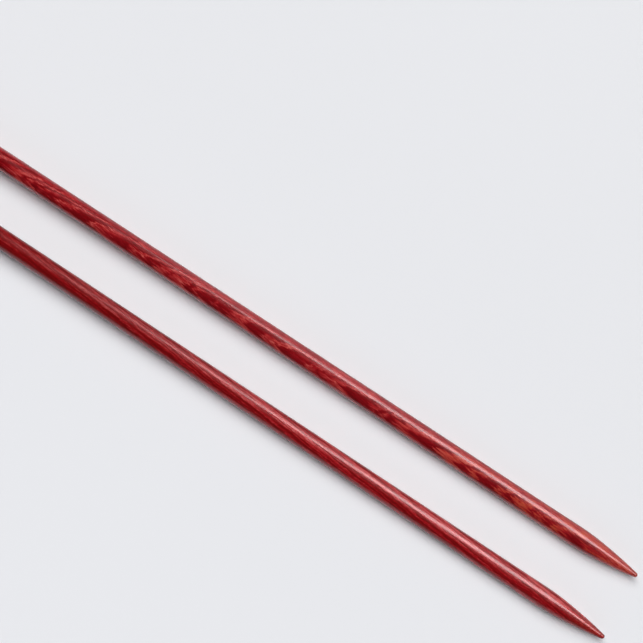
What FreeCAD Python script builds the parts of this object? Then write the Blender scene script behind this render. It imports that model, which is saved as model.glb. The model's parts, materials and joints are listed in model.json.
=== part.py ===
"""A pair of straight, single-pointed knitting needles, 6 mm gauge and 350 mm long, lying side by side.

Each needle is a laminated birch shaft with a turned head: a plated ferrule over the shaft's spigot, a
wooden stopper plugged into the ferrule's cup, a dowel pin through both, and a plated button in the
stopper's end.

Every piece is a body of revolution. It is drawn as an outline (x along the needle from the outer end of
the head, r from the axis), turned about the axis, and then laid down with the rest of its needle: the
head stands on the stopper's widest ring and the shaft on the ring where the taper begins, so the needle
slopes slightly down to its tip. Millimetres; +X runs from the heads to the tips, +Z is up, Z = 0 is the
surface.
"""
import FreeCAD, Part
import math
import os

V = FreeCAD.Vector

# Needle
GAUGE = 6.0                     # shaft diameter, the needle's size
LENGTH = 350.0                  # end of the head to the tip
TIP_BALL_RADIUS = 0.70          # blunt end of the point
OGIVE_RADIUS = 150.0            # long, slightly bulging flank of the point
BLEND_RADIUS = 70.0             # where the flank runs into the straight shaft
BLEND_ANGLE = math.radians(6.3)

# How the pair lies
AXIS_SPACING = 19.7             # between the two needles' axes
RIGHT_AHEAD = 1.2               # the right needle's tip lies this much further forward

# Stopper, a turned bead
STOPPER_START = 0.9
STOPPER_END = 11.0
STOPPER_RADIUS = 6.5
STOPPER_WIDEST_AT = 6.3
STOPPER_OUTER_FACE_RADIUS = 3.9
STOPPER_INNER_FACE_RADIUS = 5.5
STOPPER_GROOVE_AT = 8.9         # a turned line round the bead
STOPPER_GROOVE_HALF_WIDTH = 0.3
STOPPER_GROOVE_DEPTH = 0.3

# Button in the stopper's outer end
BUTTON_RADIUS = 3.1
BUTTON_RECESS = 0.6
BUTTON_STEM_RADIUS = 1.1
BUTTON_STEM_LENGTH = 3.0

# Ferrule: a cup for the stopper, a web, and a sleeve over the shaft's spigot
FERRULE_END = 24.0
RIM_RADIUS = 5.3
RIM_WIDTH = 1.1
CUP_BORE_RADIUS = 4.0
CUP_DEPTH = 3.0
CUP_WALL = 0.8
CUP_NECK_AT = 14.6
WEB = 1.2
SLEEVE_RADIUS = 3.45
COVE_END = 18.6                 # where the concave neck has come down to the sleeve
LIP_RADIUS = 3.7
LIP_WIDTH = 0.9
SPIGOT_RADIUS = 2.7

# Dowel pin through the web, in the stopper and the shaft
PIN_RADIUS = 1.0
PIN_START = 8.0
PIN_END = 23.0
PIN_CHAMFER = 0.2
PIN_END_SPACE = 0.5

GLUE_GAP = 0.03                 # radial room for glue in every socket
SHOULDER_CHAMFER = 0.15

# Worked out from the above
SHAFT_RADIUS = GAUGE / 2
SHAFT_START = STOPPER_END + CUP_DEPTH + WEB
BLEND_CENTRE = SHAFT_RADIUS - BLEND_RADIUS                  # r of the blend arc's centre


def taper():
    """Distances from the tip and radii of the point's outline.

    The ball at the tip touches the ogive from inside, and the ogive meets the blend arc at BLEND_ANGLE.
    Returns the taper's length and the outline's points from the shaft to the tip.
    """
    ogive_centre_r = BLEND_CENTRE + (BLEND_RADIUS - OGIVE_RADIUS) * math.cos(BLEND_ANGLE)
    centres_apart = OGIVE_RADIUS - TIP_BALL_RADIUS
    ogive_centre_u = TIP_BALL_RADIUS + math.sqrt(centres_apart ** 2 - ogive_centre_r ** 2)
    length = ogive_centre_u + (BLEND_RADIUS - OGIVE_RADIUS) * math.sin(BLEND_ANGLE)

    def on_blend(angle):
        return (length - BLEND_RADIUS * math.sin(angle),
                BLEND_CENTRE + BLEND_RADIUS * math.cos(angle))

    def on_ogive(angle):
        return (ogive_centre_u - OGIVE_RADIUS * math.sin(angle),
                ogive_centre_r + OGIVE_RADIUS * math.cos(angle))

    def on_ball(angle):
        return (TIP_BALL_RADIUS * (1 - math.sin(angle)), TIP_BALL_RADIUS * math.cos(angle))

    ball_angle = math.asin((ogive_centre_u - TIP_BALL_RADIUS) / centres_apart)
    points = {
        "shaft": on_blend(0),
        "blend_mid": on_blend(BLEND_ANGLE / 2),
        "blend_end": on_blend(BLEND_ANGLE),
        "ogive_mid": on_ogive((BLEND_ANGLE + ball_angle) / 2),
        "ball_start": on_ball(ball_angle),
        "ball_mid": on_ball((ball_angle + math.pi / 2) / 2),
        "tip": (0.0, 0.0),
    }
    return length, points


TAPER_LENGTH, TAPER_POINTS = taper()
TAPER_START = LENGTH - TAPER_LENGTH


def arc_radius(dx, dr):
    """Radius of the arc that starts level at the bead's widest ring and drops dr over dx."""
    return (dx * dx + dr * dr) / (2 * dr)


CROWN_ARC = arc_radius(STOPPER_WIDEST_AT - STOPPER_START, STOPPER_RADIUS - STOPPER_OUTER_FACE_RADIUS)
BELLY_ARC = arc_radius(STOPPER_END - STOPPER_WIDEST_AT, STOPPER_RADIUS - STOPPER_INNER_FACE_RADIUS)
BELLY_CENTRE = STOPPER_RADIUS - BELLY_ARC                   # r of the belly arc's centre


def bead_radius(x):
    """The stopper's outside radius at x, on whichever of its two arcs x lies."""
    arc = CROWN_ARC if x < STOPPER_WIDEST_AT else BELLY_ARC
    return STOPPER_RADIUS - arc + math.sqrt(arc ** 2 - (x - STOPPER_WIDEST_AT) ** 2)


class Outline:
    """Half of a turned piece's section, drawn edge by edge in the plane y = 0, then revolved about X."""

    def __init__(self, x, r):
        self.start = self.here = V(x, 0, r)
        self.edges = []

    def line(self, x, r):
        there = V(x, 0, r)
        self.edges.append(Part.LineSegment(self.here, there).toShape())
        self.here = there
        return self

    def arc(self, mid, end):
        there = V(end[0], 0, end[1])
        self.edges.append(Part.Arc(self.here, V(mid[0], 0, mid[1]), there).toShape())
        self.here = there
        return self

    def solid(self):
        self.line(self.start.x, self.start.z)
        face = Part.Face(Part.Wire(self.edges))
        turned = face.revolve(V(0, 0, 0), V(1, 0, 0), 360)
        return turned if turned.Volume > 0 else turned.reversed()


def shaft():
    """Laminated birch: a spigot with a blind pin hole, a shoulder, the straight shaft and the point."""
    hole = PIN_RADIUS + GLUE_GAP
    hole_end = PIN_END + PIN_END_SPACE
    point = {name: (LENGTH - u, r) for name, (u, r) in TAPER_POINTS.items()}
    return (Outline(hole_end, 0)
            .line(hole_end, hole)
            .line(SHAFT_START, hole)
            .line(SHAFT_START, SPIGOT_RADIUS)
            .line(FERRULE_END, SPIGOT_RADIUS)
            .line(FERRULE_END, SHAFT_RADIUS - SHOULDER_CHAMFER)
            .line(FERRULE_END + SHOULDER_CHAMFER, SHAFT_RADIUS)
            .line(*point["shaft"])
            .arc(point["blend_mid"], point["blend_end"])
            .arc(point["ogive_mid"], point["ball_start"])
            .arc(point["ball_mid"], point["tip"])
            .solid())


def ferrule():
    """Plated brass: rim, cup, concave neck, sleeve and rolled lip; inside, a cup, a web and a socket."""
    rim_mid = STOPPER_END + RIM_WIDTH / 2
    neck_radius = CUP_BORE_RADIUS + CUP_WALL
    cove_dx = COVE_END - CUP_NECK_AT
    cove = arc_radius(cove_dx, neck_radius - SLEEVE_RADIUS)
    cove_mid_x = CUP_NECK_AT + cove_dx / 2
    cove_mid_r = SLEEVE_RADIUS + cove - math.sqrt(cove ** 2 - (COVE_END - cove_mid_x) ** 2)
    lip_start = FERRULE_END - LIP_WIDTH
    web_hole = PIN_RADIUS + GLUE_GAP
    socket = SPIGOT_RADIUS + GLUE_GAP
    cup = CUP_BORE_RADIUS + GLUE_GAP
    cup_floor = STOPPER_END + CUP_DEPTH
    return (Outline(STOPPER_END, cup)
            .line(STOPPER_END, neck_radius)
            .arc((rim_mid, RIM_RADIUS), (STOPPER_END + RIM_WIDTH, neck_radius))
            .line(CUP_NECK_AT, neck_radius)
            .arc((cove_mid_x, cove_mid_r), (COVE_END, SLEEVE_RADIUS))
            .line(lip_start, SLEEVE_RADIUS)
            .arc((lip_start + LIP_WIDTH / 2, LIP_RADIUS), (FERRULE_END, SLEEVE_RADIUS))
            .line(FERRULE_END, socket)
            .line(SHAFT_START, socket)
            .line(SHAFT_START, web_hole)
            .line(cup_floor, web_hole)
            .line(cup_floor, cup)
            .solid())


def stopper():
    """Turned birch bead: a plug for the ferrule's cup, a pin hole, and a recess for the button."""
    recess_floor = STOPPER_START + BUTTON_RECESS
    stem_hole_end = recess_floor + BUTTON_STEM_LENGTH + PIN_END_SPACE
    pin_hole_start = PIN_START - PIN_END_SPACE
    plug_end = STOPPER_END + CUP_DEPTH - GLUE_GAP
    groove_in = STOPPER_GROOVE_AT - STOPPER_GROOVE_HALF_WIDTH
    groove_out = STOPPER_GROOVE_AT + STOPPER_GROOVE_HALF_WIDTH
    crown_mid = (STOPPER_START + STOPPER_WIDEST_AT) / 2
    belly_mid = (STOPPER_WIDEST_AT + groove_in) / 2
    shoulder_mid = (groove_out + STOPPER_END) / 2
    return (Outline(stem_hole_end, 0)
            .line(stem_hole_end, BUTTON_STEM_RADIUS + GLUE_GAP)
            .line(recess_floor, BUTTON_STEM_RADIUS + GLUE_GAP)
            .line(recess_floor, BUTTON_RADIUS + GLUE_GAP)
            .line(STOPPER_START, BUTTON_RADIUS + GLUE_GAP)
            .line(STOPPER_START, STOPPER_OUTER_FACE_RADIUS)
            .arc((crown_mid, bead_radius(crown_mid)), (STOPPER_WIDEST_AT, STOPPER_RADIUS))
            .arc((belly_mid, bead_radius(belly_mid)), (groove_in, bead_radius(groove_in)))
            .line(STOPPER_GROOVE_AT, bead_radius(STOPPER_GROOVE_AT) - STOPPER_GROOVE_DEPTH)
            .line(groove_out, bead_radius(groove_out))
            .arc((shoulder_mid, bead_radius(shoulder_mid)), (STOPPER_END, STOPPER_INNER_FACE_RADIUS))
            .line(STOPPER_END, CUP_BORE_RADIUS)
            .line(plug_end, CUP_BORE_RADIUS)
            .line(plug_end, PIN_RADIUS + GLUE_GAP)
            .line(pin_hole_start, PIN_RADIUS + GLUE_GAP)
            .line(pin_hole_start, 0)
            .solid())


def end_button():
    """Plated disc with a low domed face and a stem."""
    underside = STOPPER_START + BUTTON_RECESS
    dome = arc_radius(BUTTON_RADIUS, STOPPER_START)
    half = BUTTON_RADIUS / 2
    dome_mid_x = dome - math.sqrt(dome ** 2 - half ** 2)
    stem_end = underside + BUTTON_STEM_LENGTH
    return (Outline(0, 0)
            .arc((dome_mid_x, half), (STOPPER_START, BUTTON_RADIUS))
            .line(underside, BUTTON_RADIUS)
            .line(underside, BUTTON_STEM_RADIUS)
            .line(stem_end, BUTTON_STEM_RADIUS)
            .line(stem_end, 0)
            .solid())


def dowel_pin():
    """Plain brass pin with chamfered ends."""
    return (Outline(PIN_START, 0)
            .line(PIN_START, PIN_RADIUS - PIN_CHAMFER)
            .line(PIN_START + PIN_CHAMFER, PIN_RADIUS)
            .line(PIN_END - PIN_CHAMFER, PIN_RADIUS)
            .line(PIN_END, PIN_RADIUS - PIN_CHAMFER)
            .line(PIN_END, 0)
            .solid())


def resting_slope():
    """(slope, height of the axis at x = 0) of a needle that stands on its stopper and on its shaft.

    Lowest points of the stopper's belly arc and of the shaft's blend arc are level:
    a sin(slope) + b cos(slope) = c.
    """
    a = STOPPER_WIDEST_AT - TAPER_START
    b = BELLY_CENTRE - BLEND_CENTRE
    c = BLEND_RADIUS - BELLY_ARC
    slope = math.atan2(a, b) + math.acos(c / math.hypot(a, b))
    height = STOPPER_WIDEST_AT * math.sin(slope) + BELLY_CENTRE * math.cos(slope) + BELLY_ARC
    return slope, height


SLOPE, HEAD_HEIGHT = resting_slope()
NEEDLES = {
    "left": V(0, AXIS_SPACING / 2, HEAD_HEIGHT),
    "right": V(RIGHT_AHEAD, -AXIS_SPACING / 2, HEAD_HEIGHT),
}
PIECES = {
    "shaft": shaft,
    "ferrule": ferrule,
    "stopper": stopper,
    "end_button": end_button,
    "dowel_pin": dowel_pin,
}


def laid_down(offset):
    """Placement of one needle: tip turned down by SLOPE about Y, head end moved to offset."""
    return FreeCAD.Placement(offset, FreeCAD.Rotation(V(0, 1, 0), math.degrees(SLOPE)))


def build():
    """Every node's solid, with the origin on the surface, midway along and between the needles."""
    nodes = {}
    for side, offset in NEEDLES.items():
        for piece, make in PIECES.items():
            solid = make()
            solid.Placement = laid_down(offset)
            nodes[f"{side}_{piece}"] = solid
    box = Part.Compound(list(nodes.values())).optimalBoundingBox(False)
    centre = V(-box.Center.x, -box.Center.y, -box.ZMin)
    for solid in nodes.values():
        solid.translate(centre)
    return nodes, centre


def report(nodes, centre):
    """Prints the sizes that the record states."""
    print(f"taper {TAPER_LENGTH:.3f}, slope {math.degrees(SLOPE):.4f} degrees")
    print(f"height of the axis at the head's end {HEAD_HEIGHT:.3f}")
    for side, offset in NEEDLES.items():
        barrel_mid = laid_down(offset).multVec(V((FERRULE_END + TAPER_START) / 2, 0, 0)) + centre
        print(f"{side} barrel middle {tuple(round(c, 3) for c in barrel_mid)}")
    print(f"barrel length {TAPER_START - FERRULE_END - SHOULDER_CHAMFER:.3f},"
          f" axis ({math.cos(SLOPE):.7f}, 0, {-math.sin(SLOPE):.7f})")
    box = Part.Compound(list(nodes.values())).optimalBoundingBox(False)
    print(f"box {box.XLength:.3f} x {box.YLength:.3f} x {box.ZLength:.3f}, from z {box.ZMin:.4f}")
    for name, solid in nodes.items():
        print(f"{name}: {solid.ShapeType}, valid {solid.isValid()}, {solid.Volume:.2f} mm3")


NODES, CENTRE = build()
os.makedirs("parts", exist_ok=True)
for node_name, node_solid in NODES.items():
    node_solid.exportStep(f"parts/{node_name}.step")
report(NODES, CENTRE)
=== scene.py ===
"""The looks of a pair of straight knitting needles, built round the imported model.

Every piece is turned in code from its own outline. An outline is drawn in millimetres, as points (x, r): x
runs along the needle from the outer end of its head and r out from its axis. The needle's axis and the place
of its tip come from the frame, so each piece lies where the model says. Where each vertex is in its own
needle, in millimetres, stays on the mesh as the attribute "needle_mm", and the wood and the plating are solid
textures in it: the wood is cut from stacked plies, as real laminated birch is, and the turning marks run
round the metal.
"""

import json
import math

import bpy
import numpy as np
from mathutils import Matrix, Vector


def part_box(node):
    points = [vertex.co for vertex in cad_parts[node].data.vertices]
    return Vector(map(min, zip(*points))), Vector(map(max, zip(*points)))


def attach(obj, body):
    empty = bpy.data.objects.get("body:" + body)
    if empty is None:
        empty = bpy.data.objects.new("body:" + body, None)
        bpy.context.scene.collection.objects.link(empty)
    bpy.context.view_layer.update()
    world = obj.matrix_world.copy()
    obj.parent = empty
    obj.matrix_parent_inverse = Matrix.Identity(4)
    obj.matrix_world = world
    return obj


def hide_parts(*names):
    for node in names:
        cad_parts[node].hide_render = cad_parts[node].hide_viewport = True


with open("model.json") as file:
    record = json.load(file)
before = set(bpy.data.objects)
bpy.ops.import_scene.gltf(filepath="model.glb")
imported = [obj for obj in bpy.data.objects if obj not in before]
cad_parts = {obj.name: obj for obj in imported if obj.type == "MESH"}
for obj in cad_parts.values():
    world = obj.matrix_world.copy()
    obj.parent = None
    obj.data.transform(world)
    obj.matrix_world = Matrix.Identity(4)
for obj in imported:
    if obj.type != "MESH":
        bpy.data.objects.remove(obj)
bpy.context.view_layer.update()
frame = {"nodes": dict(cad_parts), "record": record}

MM = 0.001

# The needle, in millimetres, as the model has it
LENGTH = 350.0
SHAFT_RADIUS = 3.0
SHAFT_START = 15.2
SPIGOT_RADIUS = 2.7
TIP_BALL_RADIUS = 0.70
OGIVE_RADIUS = 150.0
BLEND_RADIUS = 70.0
BLEND_ANGLE = math.radians(6.3)
SHOULDER_CHAMFER = 0.15

STOPPER_START = 0.9
STOPPER_END = 11.0
STOPPER_RADIUS = 6.5
STOPPER_WIDEST_AT = 6.3
STOPPER_OUTER_FACE_RADIUS = 3.9
STOPPER_INNER_FACE_RADIUS = 5.5
STOPPER_GROOVE_AT = 8.9
STOPPER_GROOVE_HALF_WIDTH = 0.3
STOPPER_GROOVE_DEPTH = 0.3

BUTTON_RADIUS = 3.1
BUTTON_RECESS = 0.6
BUTTON_STEM_RADIUS = 1.1
BUTTON_STEM_LENGTH = 3.0

FERRULE_END = 24.0
RIM_RADIUS = 5.3
RIM_WIDTH = 1.1
CUP_BORE_RADIUS = 4.0
CUP_DEPTH = 3.0
CUP_WALL = 0.8
CUP_NECK_AT = 14.6
SLEEVE_RADIUS = 3.45
COVE_END = 18.6
LIP_RADIUS = 3.7
LIP_WIDTH = 0.9

PIN_RADIUS = 1.0
PIN_START = 8.0
PIN_END = 23.0
PIN_END_SPACE = 0.5
GLUE_GAP = 0.03

# What the model leaves out, in millimetres: eased edges, and lines cut into the metal
STOPPER_EASE = 0.12
BUTTON_EASE = 0.14
BUTTON_RING_RADIUS = 2.35
BUTTON_RING_HALF_WIDTH = 0.16
BUTTON_RING_DEPTH = 0.07
SLEEVE_LINES_AT = (19.7, 20.5, 21.3)
SLEEVE_LINE_HALF_WIDTH = 0.14
SLEEVE_LINE_DEPTH = 0.1

# Hand sanding, as waves on the shaft: size and length in millimetres, lobes round the shaft, and phase
SANDING_WAVES = (
    (0.0045, 41.0, 1, 0.4),
    (0.0035, 17.3, 2, 1.9),
    (0.0025, 9.1, 1, 4.2),
    (0.0020, 5.7, 3, 2.7),
)

SHAFT_SEGMENTS = 72
HEAD_SEGMENTS = 96
SHARP_ANGLE = math.radians(32)
POLE_RADIUS = 1e-6                      # an outline point nearer the axis than this is one vertex, not a ring


# --------------------------------------------------------------------------------------------- outlines

def arc(start, mid, end, steps):
    """Points of the circular arc from start through mid to end, without its start."""
    (ax, ay), (bx, by), (cx, cy) = start, mid, end
    d = 2 * (ax * (by - cy) + bx * (cy - ay) + cx * (ay - by))
    a2, b2, c2 = ax * ax + ay * ay, bx * bx + by * by, cx * cx + cy * cy
    ux = (a2 * (by - cy) + b2 * (cy - ay) + c2 * (ay - by)) / d
    uy = (a2 * (cx - bx) + b2 * (ax - cx) + c2 * (bx - ax)) / d
    radius = math.hypot(ax - ux, ay - uy)
    first, middle, last = (math.atan2(y - uy, x - ux) for x, y in (start, mid, end))
    turn = (last - first) % math.tau
    if (middle - first) % math.tau > turn:
        turn -= math.tau
    angles = [first + turn * k / steps for k in range(1, steps + 1)]
    return [(ux + radius * math.cos(t), uy + radius * math.sin(t)) for t in angles]


def sagitta_arc(start, end, rise, steps):
    """Points of a shallow arc between two points of equal r, standing proud of their chord by rise."""
    mid = ((start[0] + end[0]) / 2, start[1] + rise)
    return arc(start, mid, end, steps)


def spread(start, end, steps):
    """Evenly spaced numbers from start to end, without the start."""
    return [start + (end - start) * k / steps for k in range(1, steps + 1)]


def arc_radius(dx, dr):
    """Radius of the arc that starts level and drops dr over dx."""
    return (dx * dx + dr * dr) / (2 * dr)


def shaft_outline():
    """Spigot with its blind pin hole, shoulder, straight shaft, and the point: blend arc, ogive and ball."""
    blend_centre_r = SHAFT_RADIUS - BLEND_RADIUS
    ogive_centre_r = blend_centre_r + (BLEND_RADIUS - OGIVE_RADIUS) * math.cos(BLEND_ANGLE)
    centres_apart = OGIVE_RADIUS - TIP_BALL_RADIUS
    ogive_centre_back = TIP_BALL_RADIUS + math.sqrt(centres_apart ** 2 - ogive_centre_r ** 2)
    taper = ogive_centre_back + (BLEND_RADIUS - OGIVE_RADIUS) * math.sin(BLEND_ANGLE)
    ball_angle = math.asin((ogive_centre_back - TIP_BALL_RADIUS) / centres_apart)

    def on_blend(angle):
        return (LENGTH - taper + BLEND_RADIUS * math.sin(angle),
                blend_centre_r + BLEND_RADIUS * math.cos(angle))

    def on_ogive(angle):
        return (LENGTH - ogive_centre_back + OGIVE_RADIUS * math.sin(angle),
                ogive_centre_r + OGIVE_RADIUS * math.cos(angle))

    def on_ball(angle):
        return (LENGTH - TIP_BALL_RADIUS * (1 - math.sin(angle)), TIP_BALL_RADIUS * math.cos(angle))

    hole = PIN_RADIUS + GLUE_GAP
    hole_end = PIN_END + PIN_END_SPACE
    shoulder_end = FERRULE_END + SHOULDER_CHAMFER
    points = [(hole_end, 0), (hole_end, hole), (SHAFT_START, hole), (SHAFT_START, SPIGOT_RADIUS),
              (FERRULE_END, SPIGOT_RADIUS), (FERRULE_END, SHAFT_RADIUS - SHOULDER_CHAMFER),
              (shoulder_end, SHAFT_RADIUS)]
    points += [(x, SHAFT_RADIUS) for x in spread(shoulder_end, on_blend(0)[0], steps=150)]
    points += [on_blend(a) for a in spread(0, BLEND_ANGLE, steps=12)]
    points += [on_ogive(a) for a in spread(BLEND_ANGLE, ball_angle, steps=24)]
    points += [on_ball(a) for a in spread(ball_angle, math.pi / 2, steps=8)]
    return points


def stopper_outline():
    """Bead with eased edges, the button's recess, a turned groove, and the plug for the ferrule's cup."""
    crown = arc_radius(STOPPER_WIDEST_AT - STOPPER_START, STOPPER_RADIUS - STOPPER_OUTER_FACE_RADIUS)
    belly = arc_radius(STOPPER_END - STOPPER_WIDEST_AT, STOPPER_RADIUS - STOPPER_INNER_FACE_RADIUS)

    def surface(x):
        radius = crown if x < STOPPER_WIDEST_AT else belly
        return (x, STOPPER_RADIUS - radius + math.sqrt(radius ** 2 - (x - STOPPER_WIDEST_AT) ** 2))

    ease = STOPPER_EASE
    recess_floor = STOPPER_START + BUTTON_RECESS
    recess = BUTTON_RADIUS + GLUE_GAP
    stem_hole = BUTTON_STEM_RADIUS + GLUE_GAP
    stem_hole_end = recess_floor + BUTTON_STEM_LENGTH + PIN_END_SPACE
    points = [(stem_hole_end, 0), (stem_hole_end, stem_hole), (recess_floor, stem_hole),
              (recess_floor, recess), (STOPPER_START + ease, recess), (STOPPER_START, recess + ease),
              (STOPPER_START, STOPPER_OUTER_FACE_RADIUS - ease)]

    groove_in = STOPPER_GROOVE_AT - STOPPER_GROOVE_HALF_WIDTH
    groove_out = STOPPER_GROOVE_AT + STOPPER_GROOVE_HALF_WIDTH
    groove_floor = (STOPPER_GROOVE_AT, surface(STOPPER_GROOVE_AT)[1] - STOPPER_GROOVE_DEPTH)
    edge_drop = ease / 3
    in_edge = (groove_in, surface(groove_in)[1] - edge_drop)
    in_middle = (groove_in + ease, (surface(groove_in)[1] + groove_floor[1]) / 2)
    out_middle = (groove_out - ease, (surface(groove_out)[1] + groove_floor[1]) / 2)
    out_edge = (groove_out, surface(groove_out)[1] - edge_drop)
    points += [surface(STOPPER_START + ease)]
    points += [surface(x) for x in spread(STOPPER_START + ease, groove_in - ease, steps=40)]
    points += arc(points[-1], in_edge, in_middle, steps=3)
    points += [groove_floor]
    points += arc(out_middle, out_edge, surface(groove_out + ease), steps=3)
    points += [surface(x) for x in spread(groove_out + ease, STOPPER_END - ease, steps=10)]

    plug_end = STOPPER_END + CUP_DEPTH - GLUE_GAP
    pin_hole = PIN_RADIUS + GLUE_GAP
    pin_hole_end = PIN_START - PIN_END_SPACE
    points += [(STOPPER_END, STOPPER_INNER_FACE_RADIUS - ease), (STOPPER_END, CUP_BORE_RADIUS),
               (plug_end, CUP_BORE_RADIUS), (plug_end, pin_hole), (pin_hole_end, pin_hole), (pin_hole_end, 0)]
    return points


def end_button_outline():
    """Low dome with a turned ring near its edge, a rounded edge, and the stem."""
    dome = arc_radius(BUTTON_RADIUS, STOPPER_START)

    def face(r):
        return (dome - math.sqrt(dome ** 2 - r ** 2), r)

    def ring(r):
        """The face with the ring cut into it."""
        share = (r - BUTTON_RING_RADIUS) / BUTTON_RING_HALF_WIDTH
        cut = BUTTON_RING_DEPTH * math.cos(share * math.pi / 2) if abs(share) < 1 else 0
        return (face(r)[0] + cut, r)

    ease = BUTTON_EASE
    underside = STOPPER_START + BUTTON_RECESS
    stem_end = underside + BUTTON_STEM_LENGTH
    edge_start = face(BUTTON_RADIUS - ease)
    edge_end = (STOPPER_START + ease, BUTTON_RADIUS)
    bulge = ease * 0.2
    edge_middle = ((edge_start[0] + edge_end[0]) / 2 - bulge, (edge_start[1] + edge_end[1]) / 2 + bulge)
    points = [(0, 0)]
    points += [ring(r) for r in spread(0, edge_start[1], steps=60)]
    points += arc(edge_start, edge_middle, edge_end, steps=5)
    points += [(underside, BUTTON_RADIUS), (underside, BUTTON_STEM_RADIUS), (stem_end, BUTTON_STEM_RADIUS),
               (stem_end, 0)]
    return points


def ferrule_outline():
    """Rolled rim, cup, concave neck, sleeve with cut lines, rolled lip; inside, the cup, web and socket."""
    neck = CUP_BORE_RADIUS + CUP_WALL
    cove_dx = COVE_END - CUP_NECK_AT
    cove = arc_radius(cove_dx, neck - SLEEVE_RADIUS)
    cove_middle = (CUP_NECK_AT + cove_dx / 2,
                   SLEEVE_RADIUS + cove - math.sqrt(cove ** 2 - (cove_dx / 2) ** 2))
    points = [(STOPPER_END, CUP_BORE_RADIUS + GLUE_GAP), (STOPPER_END, neck)]
    points += sagitta_arc(points[-1], (STOPPER_END + RIM_WIDTH, neck), RIM_RADIUS - neck, steps=14)
    points += [(CUP_NECK_AT, neck)]
    points += arc(points[-1], cove_middle, (COVE_END, SLEEVE_RADIUS), steps=24)
    for line_at in SLEEVE_LINES_AT:
        line_end = (line_at + SLEEVE_LINE_HALF_WIDTH, SLEEVE_RADIUS)
        points += [(line_at - SLEEVE_LINE_HALF_WIDTH, SLEEVE_RADIUS)]
        points += sagitta_arc(points[-1], line_end, -SLEEVE_LINE_DEPTH, steps=6)
    points += [(FERRULE_END - LIP_WIDTH, SLEEVE_RADIUS)]
    points += sagitta_arc(points[-1], (FERRULE_END, SLEEVE_RADIUS), LIP_RADIUS - SLEEVE_RADIUS, steps=10)

    cup_floor = STOPPER_END + CUP_DEPTH
    points += [(FERRULE_END, SPIGOT_RADIUS + GLUE_GAP), (SHAFT_START, SPIGOT_RADIUS + GLUE_GAP),
               (SHAFT_START, PIN_RADIUS + GLUE_GAP), (cup_floor, PIN_RADIUS + GLUE_GAP),
               (cup_floor, CUP_BORE_RADIUS + GLUE_GAP)]
    return points


# ---------------------------------------------------------------------------------------------- turning

def needle_placement(side):
    """Matrix from a needle's own millimetres to the frame, from its barrel mount and the end of its tip."""
    mounts = {m["name"]: m for m in frame["record"]["mounts"]}
    barrel = mounts[f"{side}_shaft_barrel"]
    axis = Vector(barrel["axis"]).normalized()
    point = Vector(barrel["pos_m"])
    tip_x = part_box(f"{side}_shaft")[1].x
    tip = point + axis * ((tip_x - point.x) / axis.x)
    across = Vector((0, 1, 0))
    up = axis.cross(across)
    turn = Matrix((axis, across, up)).transposed().to_4x4()
    return Matrix.Translation(tip - axis * LENGTH * MM) @ turn @ Matrix.Scale(MM, 4)


def hand_sanding(x, angle):
    """How far the sanded and lacquered shaft stands off a true cylinder, in millimetres."""
    return sum(size * math.sin(math.tau * x / length + lobes * angle + phase)
               for size, length, lobes, phase in SANDING_WAVES)


def put_in_scene(name, data):
    """A new object with that mesh, camera or light."""
    piece = bpy.data.objects.new(name, data)
    bpy.context.scene.collection.objects.link(piece)
    return piece


def turned(name, outline, placement, segments, unevenness=None):
    """A closed mesh: the outline revolved about the needle's axis, smooth except at its sharp corners."""
    closed_ring = outline[0][1] > 0     # a tube's outline closes on itself, others start and end on the axis
    angles = [math.tau * k / segments for k in range(segments)]
    vertices = []
    rings = []
    for x, r in outline:
        if r < POLE_RADIUS:
            rings.append([len(vertices)])
            vertices.append((x, 0, 0))
            continue
        rings.append(list(range(len(vertices), len(vertices) + segments)))
        for angle in angles:
            swell = unevenness(x, angle) if unevenness else 0
            vertices.append((x, (r + swell) * math.cos(angle), (r + swell) * math.sin(angle)))
    faces = []
    next_rings = rings[1:] + rings[:1] if closed_ring else rings[1:]
    for here, there in zip(rings, next_rings):
        for k in range(segments):
            k2 = (k + 1) % segments
            if len(here) == 1:
                faces.append((here[0], there[k2], there[k]))
            elif len(there) == 1:
                faces.append((here[k], here[k2], there[0]))
            else:
                faces.append((here[k], here[k2], there[k2], there[k]))
    mesh = bpy.data.meshes.new(name)
    mesh.from_pydata(vertices, [], faces)
    local = mesh.attributes.new("needle_mm", "FLOAT_VECTOR", "POINT")
    local.data.foreach_set("vector", np.array(vertices, np.float32).ravel())
    mesh.transform(placement)
    mesh.shade_smooth()
    mesh.set_sharp_from_angle(angle=SHARP_ANGLE)
    mesh.update()
    return put_in_scene(name, mesh)


# ------------------------------------------------------------------------------------------ node graphs

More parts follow.
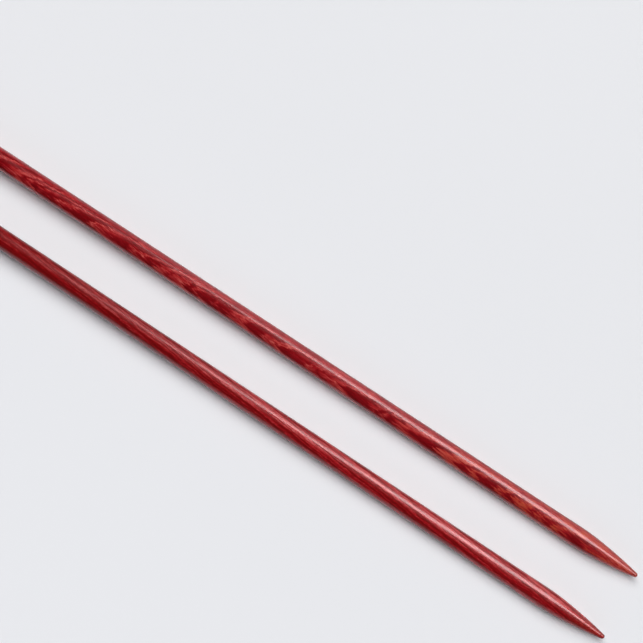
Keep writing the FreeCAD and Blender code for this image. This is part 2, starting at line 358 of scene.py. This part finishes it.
class Graph:
    """A material's node tree, with short calls for the nodes used here."""

    def __init__(self, name):
        self.material = bpy.data.materials.new(name)
        self.material.use_nodes = True
        self.tree = self.material.node_tree
        self.tree.nodes.clear()
        self.shader = self.add("BsdfPrincipled")
        output = self.add("OutputMaterial")
        self.tree.links.new(self.shader.outputs["BSDF"], output.inputs["Surface"])

    def add(self, kind, inputs=None, **settings):
        """A node with its settings made; an input is a value or the socket that feeds it."""
        node = self.tree.nodes.new("ShaderNode" + kind)
        for key, value in settings.items():
            setattr(node, key, value)
        for key, value in (inputs or {}).items():
            self.feed(node.inputs[key], value)
        return node

    def feed(self, socket, value):
        if isinstance(value, bpy.types.NodeSocket):
            self.tree.links.new(value, socket)
        else:
            socket.default_value = value

    def surface(self, inputs):
        """The shader's own inputs, by name. A plain value is set on the socket itself."""
        for key, value in inputs.items():
            self.feed(self.shader.inputs[key], value)

    def math(self, operation, a, b=0.0):
        return self.add("Math", {0: a, 1: b}, operation=operation).outputs[0]

    def plus(self, a, b):
        return self.math("ADD", a, b)

    def minus(self, a, b):
        return self.math("SUBTRACT", a, b)

    def times(self, a, b):
        return self.math("MULTIPLY", a, b)

    def needle_mm(self):
        """Where the surface is, in its needle's own millimetres."""
        return self.add("Attribute", attribute_name="needle_mm", attribute_type="GEOMETRY").outputs["Vector"]

    def object_place(self):
        """Where the surface is, in its object's own metres."""
        return self.add("TexCoord").outputs["Object"]

    def split(self, vector):
        return self.add("SeparateXYZ", {0: vector}).outputs

    def mapped(self, vector, scale=(1, 1, 1), rotation=(0, 0, 0), location=(0, 0, 0)):
        """The vector scaled, then turned, then moved."""
        return self.add("Mapping", {"Vector": vector, "Scale": scale, "Rotation": rotation,
                                    "Location": location}).outputs[0]

    def noise(self, vector, detail=2.0, roughness=0.5):
        return self.add("TexNoise", {"Vector": vector, "Scale": 1.0, "Detail": detail,
                                     "Roughness": roughness}).outputs["Fac"]

    def noise_along(self, place, detail=2.0, roughness=0.5):
        """Noise that changes with one number only."""
        return self.add("TexNoise", {"W": place, "Scale": 1.0, "Detail": detail, "Roughness": roughness},
                        noise_dimensions="1D").outputs["Fac"]

    def remap(self, value, low, high, to_low=0.0, to_high=1.0):
        """value from low..high to to_low..to_high, eased at both ends and held inside them."""
        return self.add("MapRange", {"Value": value, "From Min": low, "From Max": high, "To Min": to_low,
                                     "To Max": to_high}, interpolation_type="SMOOTHSTEP").outputs[0]

    def ramp(self, value, stops):
        """Colours at places from 0 to 1."""
        node = self.add("ValToRGB", {"Fac": value})
        elements = node.color_ramp.elements
        while len(elements) < len(stops):
            elements.new(0.5)
        for element, (place, colour) in zip(elements, stops):
            element.position = place
            element.color = (*colour, 1)
        return node.outputs["Color"]

    def mix_numbers(self, share, a, b):
        return self.add("Mix", {0: share, 2: a, 3: b}, data_type="FLOAT").outputs[0]

    def mix_colours(self, share, colour, other):
        """A colour socket, with a share of another, plain colour."""
        return self.add("Mix", {0: share, 6: colour, 7: (*other, 1)}, data_type="RGBA").outputs[2]

    def bump(self, height, strength, distance):
        return self.add("Bump", {"Height": height, "Strength": strength, "Distance": distance}).outputs[0]


# ------------------------------------------------------------------------------------------------- wood

# Scales are in waves per millimetre: along the needle, then in the two directions across it
PLY = 2.0                               # thickness of a ply, in millimetres
PLY_RUN_OUT = 0.005                     # how far the plies drift across the needle, per millimetre along it
PLY_EDGE = 0.30                         # how softly one ply gives way to the next
FIBRE_SLANT = math.radians(7)           # the fibres' angle to the needle, in the plane of the plies
LAYERS_PER_MM = 1.45
RINGS_PER_MM = 5.2
FIBRE_SCALE = (0.20, 4.2, 4.2)
DRIFT_SCALE = (0.030, 0.6, 0.6)
PORE_SCALE = (0.45, 9.0, 9.0)
LACQUER_SCALE = (0.5, 1.1, 1.1)

# What bends the growth layers: does it follow the fibres, its scale, its detail, and its size in millimetres
LAYER_WAVES = (
    (False, (0.050, 0.10, 0.10), 0.0, 1.30),
    (False, (0.24, 0.60, 0.60), 1.0, 0.50),
    (True, (0.25, 1.9, 1.9), 3.0, 1.15),
    (True, (0.5, 5.5, 5.5), 1.0, 0.30),
)

# The wood's tone runs from 0, dark, to 1, light
FLAMED_TONE = 0.42
PLAIN_TONE = 0.54
PLAIN_DRIFT = 0.6
LAYER_CONTRAST = 0.56
RING_CONTRAST = 0.95

# The noise values or tones between which a feature sets in
LAYER_EDGES = (0.36, 0.64)
PORE_EDGES = (0.64, 0.74)
ORANGE_TONES = (0.50, 0.85)
BROWN_TONES = (0.40, 0.74)
WORN_FIBRES = (0.36, 0.66)
PORE_STRENGTH = 0.5

# Where along the needle, in millimetres, a change of colour starts and ends
HEAD_SHADE_SPAN = (100.0, 260.0)
BROWN_SPAN = (150.0, 260.0)
ORANGE_SPAN = (255.0, 325.0)
TIP_SPAN = (LENGTH - 16.0, LENGTH - 1.0)

ORANGE_DYE = (0.46, 0.058, 0.020)
BROWN_DYE = (0.25, 0.050, 0.045)
DYED_PORE = (0.12, 0.0006, 0.001)
WORN_TIP = (0.58, 0.13, 0.085)
CRIMSON_FLAME = (
    (0.0, (0.170, 0.0002, 0.0022)),
    (0.34, (0.23, 0.0010, 0.0040)),
    (0.55, (0.33, 0.0065, 0.011)),
    (0.76, (0.45, 0.034, 0.032)),
    (1.0, (0.57, 0.098, 0.078)),
)
DEEP_CRIMSON = (
    (0.0, (0.150, 0.0003, 0.0006)),
    (0.40, (0.225, 0.0004, 0.0022)),
    (0.66, (0.36, 0.0060, 0.0100)),
    (0.86, (0.46, 0.040, 0.041)),
    (1.0, (0.53, 0.075, 0.072)),
)


def growth_depth(g, rolled, fibre_way, flame_slope):
    """How far across the wood's growth layers each point lies, in millimetres."""
    split = g.split(rolled)
    depth = g.plus(split["Z"], g.times(split["X"], flame_slope))
    for follows_fibres, scale, detail, size in LAYER_WAVES:
        way = fibre_way if follows_fibres else rolled
        wave = g.minus(g.noise(g.mapped(way, scale), detail=detail), 0.5)
        depth = g.plus(depth, g.times(wave, size))
    return depth


def dyed_birch(name, ply_turn, ply_shift, flame_slope, seed, stops, figure=1.0, plain_figure=0.2,
               fibre_contrast=1.0, fleck_scale=(0.22, 1.7, 1.7), fleck_share=1.0, painted_side_light=0.0,
               head_shade=0.0, brown=0.0, orange=0.0, tip_warmth=0.0):
    """Birch plies bonded into a rod, dyed through and lacquered.

    The plies are PLY mm thick and lie along the needle. ply_turn is their angle about its axis, and ply_shift
    moves them across it. Every other ply is figured: its growth layers climb along the needle by flame_slope,
    so they come out of the round surface as nested flames that point to the head. The plies between are
    plain. seed moves the grain, so that each rod has its own. stops are the colours from dark wood to light.

    figure and plain_figure are the contrast of the growth layers in the two kinds of ply, fibre_contrast that
    of the fibres, and fleck_share that of the flecks against the fibres. painted_side_light lightens the wood
    by that much for each millimetre up the stack of plies, as painted light on the side turned to the lamps
    and painted shade on the other. head_shade darkens it towards the head. Light wood turns browner towards
    the head by brown and warmer towards the point by orange, and tip_warmth is how far use has worn the dye
    off the point.
    """
    g = Graph(name)
    place = g.needle_mm()
    along = g.split(place)["X"]
    rolled = g.mapped(place, rotation=(ply_turn, 0, 0), location=(seed, 0, 0))
    fibre_way = g.mapped(rolled, rotation=(0, 0, FIBRE_SLANT))
    stack = g.split(rolled)

    depth = growth_depth(g, rolled, fibre_way, flame_slope)
    layers = g.remap(g.noise_along(g.times(depth, LAYERS_PER_MM), detail=0.0), *LAYER_EDGES)
    rings = g.noise_along(g.times(depth, RINGS_PER_MM), detail=2.0, roughness=0.6)
    fibres = g.noise(g.mapped(fibre_way, FIBRE_SCALE), detail=4.0, roughness=0.65)
    # These are moved to other parts of the noise, so that they do not follow the fibres
    flecks = g.noise(g.mapped(fibre_way, fleck_scale, location=(seed * 2, 7, 3)), detail=3.0, roughness=0.6)
    drift = g.noise(g.mapped(fibre_way, DRIFT_SCALE, location=(seed * 5, 1, 9)), detail=1.0)
    pores = g.noise(g.mapped(fibre_way, PORE_SCALE, location=(seed * 3, 5, 2)), detail=1.0)

    def ply_tone(mean, layer_share, wander):
        tone = mean
        for part, weight in ((layers, LAYER_CONTRAST * layer_share), (rings, RING_CONTRAST * layer_share),
                             (fibres, fibre_contrast), (flecks, fleck_share * fibre_contrast),
                             (drift, wander)):
            tone = g.plus(tone, g.times(g.minus(part, 0.5), weight))
        return tone

    flamed = ply_tone(FLAMED_TONE, figure, wander=0.0)
    plain = ply_tone(PLAIN_TONE, plain_figure, wander=PLAIN_DRIFT)
    run_out = g.times(g.minus(LENGTH, stack["X"]), PLY_RUN_OUT)
    across = g.plus(g.plus(stack["Z"], ply_shift), run_out)
    figured_ply = g.remap(g.math("SINE", g.times(across, math.pi / PLY)), -PLY_EDGE, PLY_EDGE)
    tone = g.mix_numbers(figured_ply, plain, flamed)
    tone = g.minus(tone, g.remap(along, *HEAD_SHADE_SPAN, to_low=head_shade, to_high=0.0))
    # Painted light and shade: the wood lightens up the stack, on the right shaft towards the lamps
    tone = g.plus(tone, g.times(stack["Z"], painted_side_light))

    colour = g.ramp(tone, stops)
    warm = g.times(g.remap(along, *ORANGE_SPAN, to_high=orange), g.remap(tone, *ORANGE_TONES))
    colour = g.mix_colours(warm, colour, ORANGE_DYE)
    dull = g.times(g.remap(along, *BROWN_SPAN, to_low=brown, to_high=0.0), g.remap(tone, *BROWN_TONES))
    colour = g.mix_colours(dull, colour, BROWN_DYE)
    colour = g.mix_colours(g.remap(pores, *PORE_EDGES, to_high=PORE_STRENGTH), colour, DYED_PORE)
    worn = g.times(g.remap(along, *TIP_SPAN, to_high=tip_warmth), g.remap(fibres, *WORN_FIBRES))
    colour = g.mix_colours(worn, colour, WORN_TIP)

    lacquer = g.noise(g.mapped(place, LACQUER_SCALE), detail=2.0)
    g.surface({
        "Base Color": colour,
        "Roughness": g.remap(fibres, 0.3, 0.7, to_low=0.30, to_high=0.42),
        "Specular IOR Level": 0.08,
        "Coat Weight": 0.7,
        "Coat Roughness": 0.205,
        "Coat IOR": 1.5,
        "Normal": g.bump(fibres, strength=0.25, distance=0.04 * MM),
        "Coat Normal": g.bump(lacquer, strength=0.08, distance=0.06 * MM),
    })
    return g.material


# ------------------------------------------------------------------------------------------------ metal

PLATING = ((0.0, (0.50, 0.47, 0.42)), (0.45, (0.69, 0.67, 0.63)), (1.0, (0.80, 0.79, 0.77)))
TURNING_MARKS_PER_MM = 14.0
RUB_SCALE = (0.9, 5.0, 5.0)
CLOUD_SCALE = (0.25, 0.3, 0.3)
CLOUD_SHARE = 0.7
RUB_SHARE = 0.3

# The pins are taken from the model, so their scales are in waves per metre
TARNISHED_BRASS = ((0.0, (0.42, 0.27, 0.10)), (1.0, (0.80, 0.60, 0.28)))
DRAW_MARK_SCALE = (300, 6000, 6000)
TARNISH_SCALE = (400, 500, 500)


def nickel_plate(name):
    """Bright plating with fine turning marks round the axis, rub marks, and cloudy, duller patches."""
    g = Graph(name)
    place = g.needle_mm()
    marks = g.noise_along(g.times(g.split(place)["X"], TURNING_MARKS_PER_MM), detail=3.0, roughness=0.7)
    rubs = g.noise(g.mapped(place, RUB_SCALE), detail=4.0, roughness=0.65)
    cloud = g.noise(g.mapped(place, CLOUD_SCALE), detail=2.0)
    tone = g.plus(g.times(cloud, CLOUD_SHARE), g.times(rubs, RUB_SHARE))
    g.surface({
        "Base Color": g.ramp(g.remap(tone, 0.35, 0.65), PLATING),
        "Roughness": g.remap(g.plus(marks, rubs), 0.6, 1.4, to_low=0.12, to_high=0.34),
        "Metallic": 1.0,
        "Anisotropic": 0.3,
        "Normal": g.bump(marks, strength=0.25, distance=0.03 * MM),
    })
    return g.material


def drawn_brass(name):
    """The dowel pins: brass with marks along its length and a little tarnish."""
    g = Graph(name)
    place = g.object_place()
    draw_marks = g.noise(g.mapped(place, DRAW_MARK_SCALE), detail=3.0, roughness=0.6)
    tarnish = g.noise(g.mapped(place, TARNISH_SCALE), detail=2.0)
    g.surface({
        "Base Color": g.ramp(g.remap(tarnish, 0.3, 0.7), TARNISHED_BRASS),
        "Roughness": g.remap(draw_marks, 0.3, 0.7, to_low=0.22, to_high=0.42),
        "Metallic": 1.0,
        "Normal": g.bump(draw_marks, strength=0.2, distance=0.02 * MM),
    })
    return g.material


# ---------------------------------------------------------------------------------------------- needles

def build_needle(side, shaft_material, stopper_material, metal, brass):
    """Replaces a needle's outer nodes with detailed pieces, and gives its dowel pin a brass of its own."""
    placement = needle_placement(side)
    pieces = {
        "shaft": (shaft_outline(), SHAFT_SEGMENTS, shaft_material, "dyed_birch", hand_sanding),
        "stopper": (stopper_outline(), HEAD_SEGMENTS, stopper_material, "stopper_birch", None),
        "ferrule": (ferrule_outline(), HEAD_SEGMENTS, metal, "nickel_plate", None),
        "end_button": (end_button_outline(), HEAD_SEGMENTS, metal, "nickel_plate", None),
    }
    for part, (outline, segments, material, slot, unevenness) in pieces.items():
        node = f"{side}_{part}"
        piece = turned(f"{node}_turned", outline, placement, segments, unevenness)
        piece.data.materials.append(material)
        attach(piece, f"{side}_needle")
        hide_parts(node)
    pin = frame["nodes"][f"{side}_dowel_pin"]
    pin.data.materials.clear()
    pin.data.materials.append(brass)


METAL = nickel_plate("nickel_plate")
BRASS = drawn_brass("drawn_brass")
build_needle(
    "left",
    dyed_birch("flamed_birch", ply_turn=math.radians(-34), ply_shift=1.8, flame_slope=0.11, seed=23.0,
               stops=CRIMSON_FLAME, head_shade=0.06, orange=0.85, tip_warmth=0.6),
    dyed_birch("stopper_birch_left", ply_turn=math.radians(20), ply_shift=0.4, flame_slope=0.10, seed=57.0,
               stops=CRIMSON_FLAME),
    METAL, BRASS)
# The right shaft has painted light on its far side, towards the lamps, and painted shade on its near side
build_needle(
    "right",
    dyed_birch("straight_birch", ply_turn=math.radians(80), ply_shift=1.4, flame_slope=0.10, seed=7.0,
               stops=DEEP_CRIMSON, figure=0.85, plain_figure=0.85, fibre_contrast=0.75,
               fleck_scale=(0.40, 2.8, 2.8), fleck_share=0.7, painted_side_light=0.065, head_shade=0.34, brown=0.5,
               tip_warmth=0.25),
    dyed_birch("stopper_birch_right", ply_turn=math.radians(-65), ply_shift=0.4, flame_slope=0.10, seed=131.0,
               stops=DEEP_CRIMSON),
    METAL, BRASS)


# ------------------------------------------------------------------------------- floor, camera and light

# Lengths are in metres and angles in degrees
LIT_FLOOR = (0.807, 0.815, 0.847)       # how bright the floor is under the needles
FAR_GLOW = 0.96                         # the share of it that glows where the lamps do not reach
BRIGHTEST_Y = 0.25                      # where the overhead lamp lights the floor most
LAMP_REACH = 3.25                       # how far from there its light is taken to have fallen to a quarter
FLOOR_HALF_SIDE = 15.0
FLOOR_CLOUD_SCALE = (3, 3, 3)
FLOOR_CLOUD = ((0.3, (0.780, 0.792, 0.824)), (0.7, (0.793, 0.805, 0.837)))

WALL_RADIUS = 14.0
WALL_HEIGHT = 6.0
WALL_SEGMENTS = 96

CAMERA_AZIMUTH = 33.653
CAMERA_ELEVATION = 77.0
CAMERA_DISTANCE = 0.5
AIM_BEHIND_LEFT_TIP = 0.11485
AIM_Y = 0.02180
AIM_HEIGHT = 0.003
SENSOR_WIDTH_MM = 36.0
LENS_MM = 96.0859


def towards(azimuth, elevation):
    """Unit vector from the object to a point at that azimuth and elevation, in degrees."""
    a = math.radians(azimuth)
    e = math.radians(elevation)
    return Vector((math.sin(a) * math.cos(e), -math.cos(a) * math.cos(e), math.sin(e)))


def facing(place, target, right_hint):
    """Matrix of a camera or lamp that stands at place and looks at target, its local X near right_hint."""
    back = (place - target).normalized()
    right = (right_hint - back * right_hint.dot(back)).normalized()
    up = back.cross(right)
    turn = Matrix((right, up, back)).transposed().to_4x4()
    return Matrix.Translation(place) @ turn


def make_floor():
    """A plain pale floor. It glows a little far from the needles, where the lamps do not reach."""
    far = FLOOR_HALF_SIDE
    mesh = bpy.data.meshes.new("floor")
    mesh.from_pydata([(-far, -far, 0), (far, -far, 0), (far, far, 0), (-far, far, 0)], [], [(0, 1, 2, 3)])
    floor = put_in_scene("floor", mesh)
    g = Graph("pale_floor")
    place = g.object_place()
    cloud = g.noise(g.mapped(place, FLOOR_CLOUD_SCALE), detail=1.0)
    from_brightest = g.mapped(place, location=(0, -BRIGHTEST_Y, 0))
    distance = g.add("VectorMath", {0: from_brightest}, operation="LENGTH").outputs["Value"]
    spread_out = g.plus(g.math("POWER", g.math("DIVIDE", distance, LAMP_REACH), 2.0), 1.0)
    lit_share = g.math("POWER", spread_out, -2.0)
    g.surface({
        "Base Color": g.ramp(cloud, FLOOR_CLOUD),
        "Roughness": 0.9,
        "Specular IOR Level": 0.1,
        "Emission Color": (*LIT_FLOOR, 1),
        "Emission Strength": g.times(g.minus(1.0, lit_share), FAR_GLOW),
    })
    mesh.materials.append(g.material)


def make_backdrop():
    """A pale round wall far away, which hides the horizon. Only the camera sees it, so it lights nothing."""
    vertices = []
    for k in range(WALL_SEGMENTS):
        angle = math.tau * k / WALL_SEGMENTS
        x = WALL_RADIUS * math.cos(angle)
        y = WALL_RADIUS * math.sin(angle)
        vertices += [(x, y, 0), (x, y, WALL_HEIGHT)]
    count = len(vertices)
    faces = [(i, i + 1, (i + 3) % count, (i + 2) % count) for i in range(0, count, 2)]
    mesh = bpy.data.meshes.new("backdrop")
    mesh.from_pydata(vertices, [], faces)
    wall = put_in_scene("backdrop", mesh)
    wall.visible_diffuse = False
    wall.visible_glossy = False
    wall.visible_transmission = False
    wall.visible_shadow = False
    g = Graph("pale_backdrop")
    g.surface({
        "Base Color": (0, 0, 0, 1),
        "Specular IOR Level": 0.0,
        "Emission Color": (*LIT_FLOOR, 1),
        "Emission Strength": FAR_GLOW,
    })
    mesh.materials.append(g.material)


def make_camera():
    """It looks steeply down, across the pair, at a place behind the left needle's tip."""
    left_tip_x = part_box("left_shaft")[1].x
    target = Vector((left_tip_x - AIM_BEHIND_LEFT_TIP, AIM_Y, AIM_HEIGHT))
    place = target + towards(CAMERA_AZIMUTH, CAMERA_ELEVATION) * CAMERA_DISTANCE
    a = math.radians(CAMERA_AZIMUTH)
    camera = put_in_scene("camera", bpy.data.cameras.new("camera"))
    camera.data.sensor_width = SENSOR_WIDTH_MM
    camera.data.lens = LENS_MM
    camera.data.clip_start = 0.01
    camera.matrix_world = facing(place, target, right_hint=Vector((math.cos(a), math.sin(a), 0)))
    bpy.context.scene.camera = camera


def softbox(name, place, target, size, power, colour, along=(1, 0, 0), seen_in_gloss=True,
            lights_diffuse=True):
    """A rectangular lamp; the first of its two sizes runs along the given direction."""
    data = bpy.data.lights.new(name, "AREA")
    data.shape = "RECTANGLE"
    data.size, data.size_y = size
    data.energy = power
    data.color = colour
    lamp = put_in_scene(name, data)
    lamp.matrix_world = facing(Vector(place), Vector(target), Vector(along))
    lamp.visible_glossy = seen_in_gloss
    lamp.visible_diffuse = lights_diffuse


def make_light():
    """A broad overhead box, a weak fill from the front, and lamps that only show in gloss.

    Three strips make the line of light on the shafts. They run from beyond the tips away towards +Y, so that
    their reflection climbs the shafts and fades towards the heads. A card stands behind the needles and pales
    the shafts' far edges.
    """
    middle = (0.05, 0, 0)
    softbox("overhead", (-0.05, 0.56, 2.40), middle, size=(3.9, 1.63), power=85.0, colour=(1.0, 0.994, 0.982),
            along=(-0.84, 0.54, 0), seen_in_gloss=False)
    softbox("fill", (0.05, -0.80, 0.50), middle, size=(1.2, 0.5), power=0.85, colour=(0.85, 0.85, 1.05),
            seen_in_gloss=False)
    # Each strip's name, place, size and power
    strips = (("strip_points", (0.78, 0.36, 1.02), (0.60, 0.50), 6.4),
              ("strip_tips", (0.25, 0.46, 0.83), (0.56, 0.42), 8.7),
              ("strip_shafts", (0.0, 0.63, 0.66), (0.24, 0.42), 1.75))
    for name, place, size, power in strips:
        softbox(name, place, middle, size, power, colour=(1.0, 0.985, 0.98), along=(-0.759, 0.471, -0.448),
                lights_diffuse=False)
    softbox("card", (0.7, 1.2, 0.5), (0.7, 0, 0.5), size=(2.0, 1.0), power=8.4, colour=(1.0, 0.97, 0.965),
            lights_diffuse=False)
    world = bpy.data.worlds.new("studio")
    world.use_nodes = True
    background = world.node_tree.nodes["Background"]
    background.inputs["Color"].default_value = (0.94, 0.97, 1.0, 1)
    background.inputs["Strength"].default_value = 0.03
    bpy.context.scene.world = world
    bpy.context.scene.view_settings.view_transform = "Standard"


make_floor()
make_backdrop()
make_camera()
make_light()
